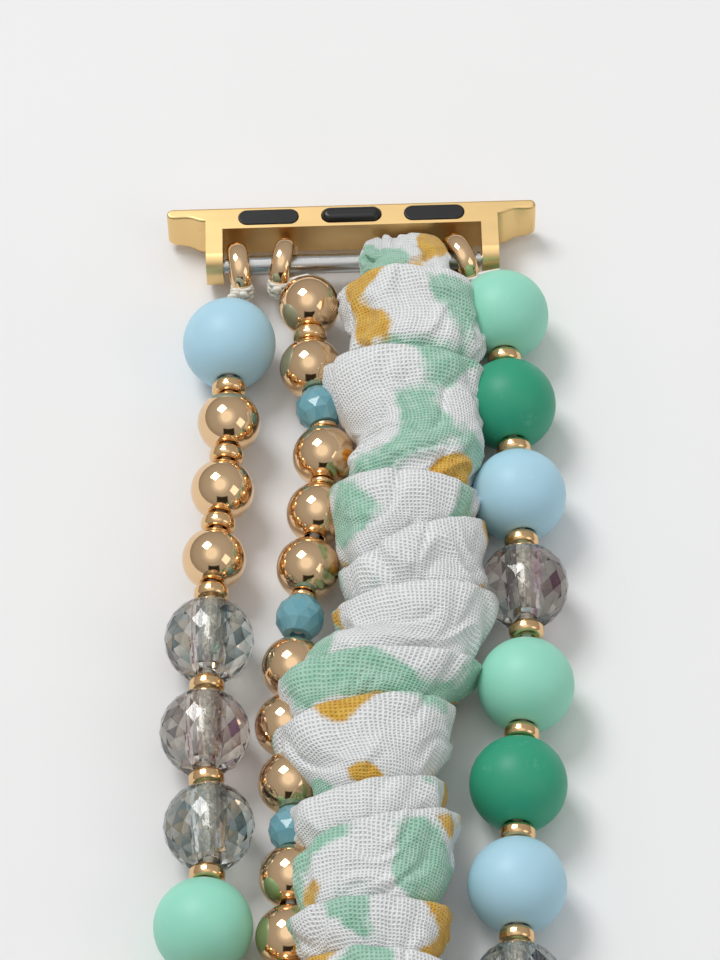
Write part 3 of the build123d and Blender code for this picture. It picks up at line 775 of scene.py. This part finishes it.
def sleeve_pieces(material):
    """Lengths of sleeve that meet in mid span."""
    distance, points, run = sleeve_grid()
    ahead = np.roll(points, -1, axis=1) - np.roll(points, 1, axis=1)
    onward = np.gradient(points, axis=0)
    normals = np.cross(onward, ahead)
    normals /= np.linalg.norm(normals, axis=2)[..., None] + 1e-12
    loop_rings = 30
    inner = distance[loop_rings:-loop_rings]
    cuts = [0, *(int(np.searchsorted(inner, cut)) + loop_rings for cut in gauze_cuts),
            len(distance) - 1]
    for number, (name, nodes, one, other, start, end) in enumerate(gauze_lengths):
        first, last = cuts[number], cuts[number + 1]
        rings = last + 1 - first
        faces = ring_faces(rings, sleeve_sides)
        piece = add_piece(name, points[first:last + 1].reshape(-1, 3), faces, material)
        layer = piece.data.uv_layers.new(name="cloth")
        coordinates = np.zeros((len(faces), 4, 2))
        for corner, (down_step, side_step) in enumerate(((0, 0), (0, 1), (1, 1), (1, 0))):
            row = np.repeat(np.arange(rings - 1), sleeve_sides) + down_step + first
            column = np.tile(np.arange(sleeve_sides), rings - 1) + side_step
            coordinates[:, corner, 0] = column * (print_width / sleeve_sides)
            coordinates[:, corner, 1] = run[row, column % sleeve_sides]
        layer.data.foreach_set("uv", coordinates.ravel())
        piece.data.normals_split_custom_set_from_vertices(
            (-normals[first:last + 1]).reshape(-1, 3).tolist())
        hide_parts(*nodes)
        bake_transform(piece)


# Ties, rings and dressing of the CAD pieces

def torus_points(centre, along, outward, reach, wire, sides, steps):
    """An oval ring of oval wire; outward and its normal span the ring's plane."""
    normal = along.cross(outward)
    points = []
    for step in range(steps):
        turn = 2 * math.pi * step / steps
        spot = (centre + outward * reach[0] * math.cos(turn)
                + normal * reach[1] * math.sin(turn))
        arm = (outward * math.cos(turn) * reach[1]
               + normal * math.sin(turn) * reach[0]).normalized()
        for side in range(sides):
            angle = 2 * math.pi * side / sides
            point = spot + arm * wire[0] * math.cos(angle) + along * wire[1] * math.sin(angle)
            points.append(point[:])
    return points, ring_faces(steps, sides, closed=True)


def join_forms(forms):
    """Several forms as one."""
    points, faces = [], []
    for some_points, some_faces in forms:
        start = len(points)
        points += [tuple(point) for point in some_points]
        faces += [tuple(corner + start for corner in face) for face in some_faces]
    return points, faces


# Place of each ring on the bar, its turn, how far it is pulled out, and its strand's mouth
ring_ties = [(-7.5, 6.0, 0.45, (-8.05, 3.2)), (-4.5, -12.0, 0.2, (-2.9, 1.7)),
             (6.98, 24.0, 0.2, (9.6, 1.75))]


def hanger_forms(flip):
    """Rings on the bar, and the wound knots that hold the elastic on them."""
    ring_radius, ring_wire = 1.625, (0.375, 0.65)
    cord_wire = (0.14, 0.14)
    strand_start = 8.2
    inward = 1 if flip else -1
    upward = Vector((0, 0, 1))
    rings, knots = [], []

    def settle(x, distance, z):
        return Vector((x, down(band_length - distance if flip else distance), z))

    for place, turn, pull, (mouth_x, mouth_down) in ring_ties:
        heading = Vector((math.sin(math.radians(turn)), inward * math.cos(math.radians(turn)), 0))
        centre = settle(place, 0, 0) + heading * pull
        across = heading.cross(upward)
        rings.append(torus_points(centre, across, heading, (ring_radius, ring_radius), ring_wire,
                                  28, 72))
        knot = centre + heading * ring_radius
        mouth = settle(mouth_x, mouth_down, strand_z)
        for shift, swell in ((-0.36, 0.0), (-0.12, 0.05), (0.12, 0.03), (0.36, -0.02)):
            arm = (heading + upward * shift * 0.9).normalized()
            spot = centre + arm * ring_radius
            tangent = across.cross(arm).normalized()
            knots.append(torus_points(spot, tangent, arm, (0.5 + swell, 0.62 + swell), cord_wire,
                                      12, 36))
        ball, ball_faces = lathe([(0.34 * math.sin(math.pi * k / 10) + 0.001,
                                   0.34 * math.cos(math.pi * k / 10)) for k in range(11)], 18)
        knots.append(([tuple(Vector(point) + knot + heading * 0.5 + Vector((0, 0, 0.45)))
                       for point in ball], ball_faces))
        knots.append(rod(knot + Vector((0, 0, 0.35)), mouth, 0.26))
        knots.append(rod(mouth, settle(mouth_x, strand_start, strand_z), 0.28))
    return join_forms(rings), join_forms(knots)


def rod(start, end, radius, sides=18, steps=8):
    """A round rod with flat ends."""
    along = (end - start).normalized()
    side = along.orthogonal().normalized()
    other = along.cross(side)
    points = []
    for step in range(steps + 1):
        spot = start.lerp(end, step / steps)
        for k in range(sides):
            angle = 2 * math.pi * k / sides
            arm = side * math.cos(angle) + other * math.sin(angle)
            points.append(tuple(spot + arm * radius))
    caps = [tuple(range(sides - 1, -1, -1)), tuple(steps * sides + k for k in range(sides))]
    return points, ring_faces(steps + 1, sides) + caps


def dress(node, material):
    """A CAD piece that stays gets its finish."""
    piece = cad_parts[node]
    piece.data.materials.clear()
    piece.data.materials.append(material)
    return piece


place_camera()
studio()

marks = wear_group()
soft_values = dict(scuff=rgb(235, 245, 245), amount=0.10, rough=0.46, grain=5200.0, bump=0.10,
                   Specular_IOR_Level=0.42)
finishes = {
    "blue": marked_finish("soft blue", marks, rgb(178, 220, 238), **soft_values),
    "mint": marked_finish("soft mint", marks, rgb(154, 226, 202), **soft_values),
    "green": marked_finish("soft green", marks, rgb(48, 160, 124), **soft_values),
    "gold": marked_finish("rose gold", marks, rgb(242, 206, 162), rgb(230, 182, 132), 0.25, 0.08,
                          3000.0, bump=0.02, Metallic=1.0),
    "donut": marked_finish("warm gold", marks, rgb(240, 200, 148), rgb(222, 170, 112), 0.3, 0.14,
                           3000.0, bump=0.03, Metallic=1.0),
    "adapter": marked_finish("satin gold", marks, rgb(244, 208, 146), rgb(224, 172, 100), 0.3, 0.36,
                             2600.0, stretch=(0.15, 1.6, 1.6), bump=0.12, Metallic=1.0),
    "pad": marked_finish("dark pad", marks, rgb(20, 20, 22), rgb(44, 44, 48), 0.2, 0.34, 6000.0,
                         bump=0.15),
    "steel": marked_finish("turned steel", marks, rgb(200, 200, 198), rgb(150, 148, 145), 0.4, 0.24,
                           3500.0, stretch=(4, 0.4, 0.4), bump=0.1, Metallic=1.0),
    # The crystal's dark greys are painted reflection and shade. Its teal, purple and amber are the
    # coating, and its clear middle leaves the sides darker as painted shade.
    "crystal": crystal_finish("coated crystal with painted reflections",
                              [rgb(58, 78, 84), rgb(205, 216, 216), rgb(88, 124, 132),
                               rgb(236, 238, 232), rgb(176, 160, 128), rgb(120, 136, 140)],
                              [rgb(92, 48, 74), rgb(226, 214, 200), rgb(134, 96, 90),
                               rgb(236, 230, 218), rgb(104, 62, 92), rgb(186, 170, 160)],
                              middle=rgb(252, 251, 246)),
    "rondelle": crystal_finish("blue crystal",
                               [rgb(112, 174, 190), rgb(134, 192, 204), rgb(120, 182, 196)],
                               clear=0.25, gloss=0.08),
    "elastic": elastic_finish(),
    "gauze": gauze_finish()}

matte_ball = lathe(ball_outline(3.0, 0.75, 0.14), 72)
gold_ball = lathe(ball_outline(2.02, 0.6, 0.12), 64)
crystal_form = cut_ball(2.8, 0.75, 58.0, 8, 16)
rondelle_form = cut_rondelle(1.55, 0.95, 2.5, 0.5, 12)

for letter in letters:
    body = "span_" + letter
    for name, node, form, finish, slot, smooth in (
            ("matte_blue_", "blue_beads_", matte_ball, "blue", "soft_blue", True),
            ("matte_mint_", "mint_beads_", matte_ball, "mint", "soft_mint", True),
            ("matte_green_", "green_beads_", matte_ball, "green", "soft_green", True),
            ("gold_balls_", "gold_beads_", gold_ball, "gold", "rose_gold", True),
            ("cut_crystals_", "crystals_", crystal_form, "crystal", "coated_crystal", False),
            ("cut_rondelles_", "rondelles_", rondelle_form, "rondelle", "blue_crystal", False)):
        string_piece(name + letter, node + letter, form, finishes[finish], body, smooth)
    dress("spacers_" + letter, finishes["donut"])
    dress("cords_" + letter, finishes["elastic"])

for end in ends:
    rings, knots = hanger_forms(end == "lower")
    for name, (points, faces), finish, node, slot in (
            ("bar_rings_", rings, "gold", "strand_rings_", "rose_gold"),
            ("wound_knots_", knots, "elastic", "cord_ties_", "elastic_cord")):
        piece = add_piece(name + end, points, faces, finishes[finish], "hangers_" + end)
        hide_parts(node + end)
    for node, finish in (("lug_frame_", "adapter"), ("lug_pads_", "pad"), ("latch_button_", "pad"),
                         ("latch_springs_", "steel"), ("bar_tube_", "steel"),
                         ("bar_pin_left_", "steel"), ("bar_pin_right_", "steel"),
                         ("bar_spring_", "steel")):
        piece = dress(node + end, finishes[finish])
        if node == "latch_springs_":
            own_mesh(piece)

sleeve_pieces(finishes["gauze"])
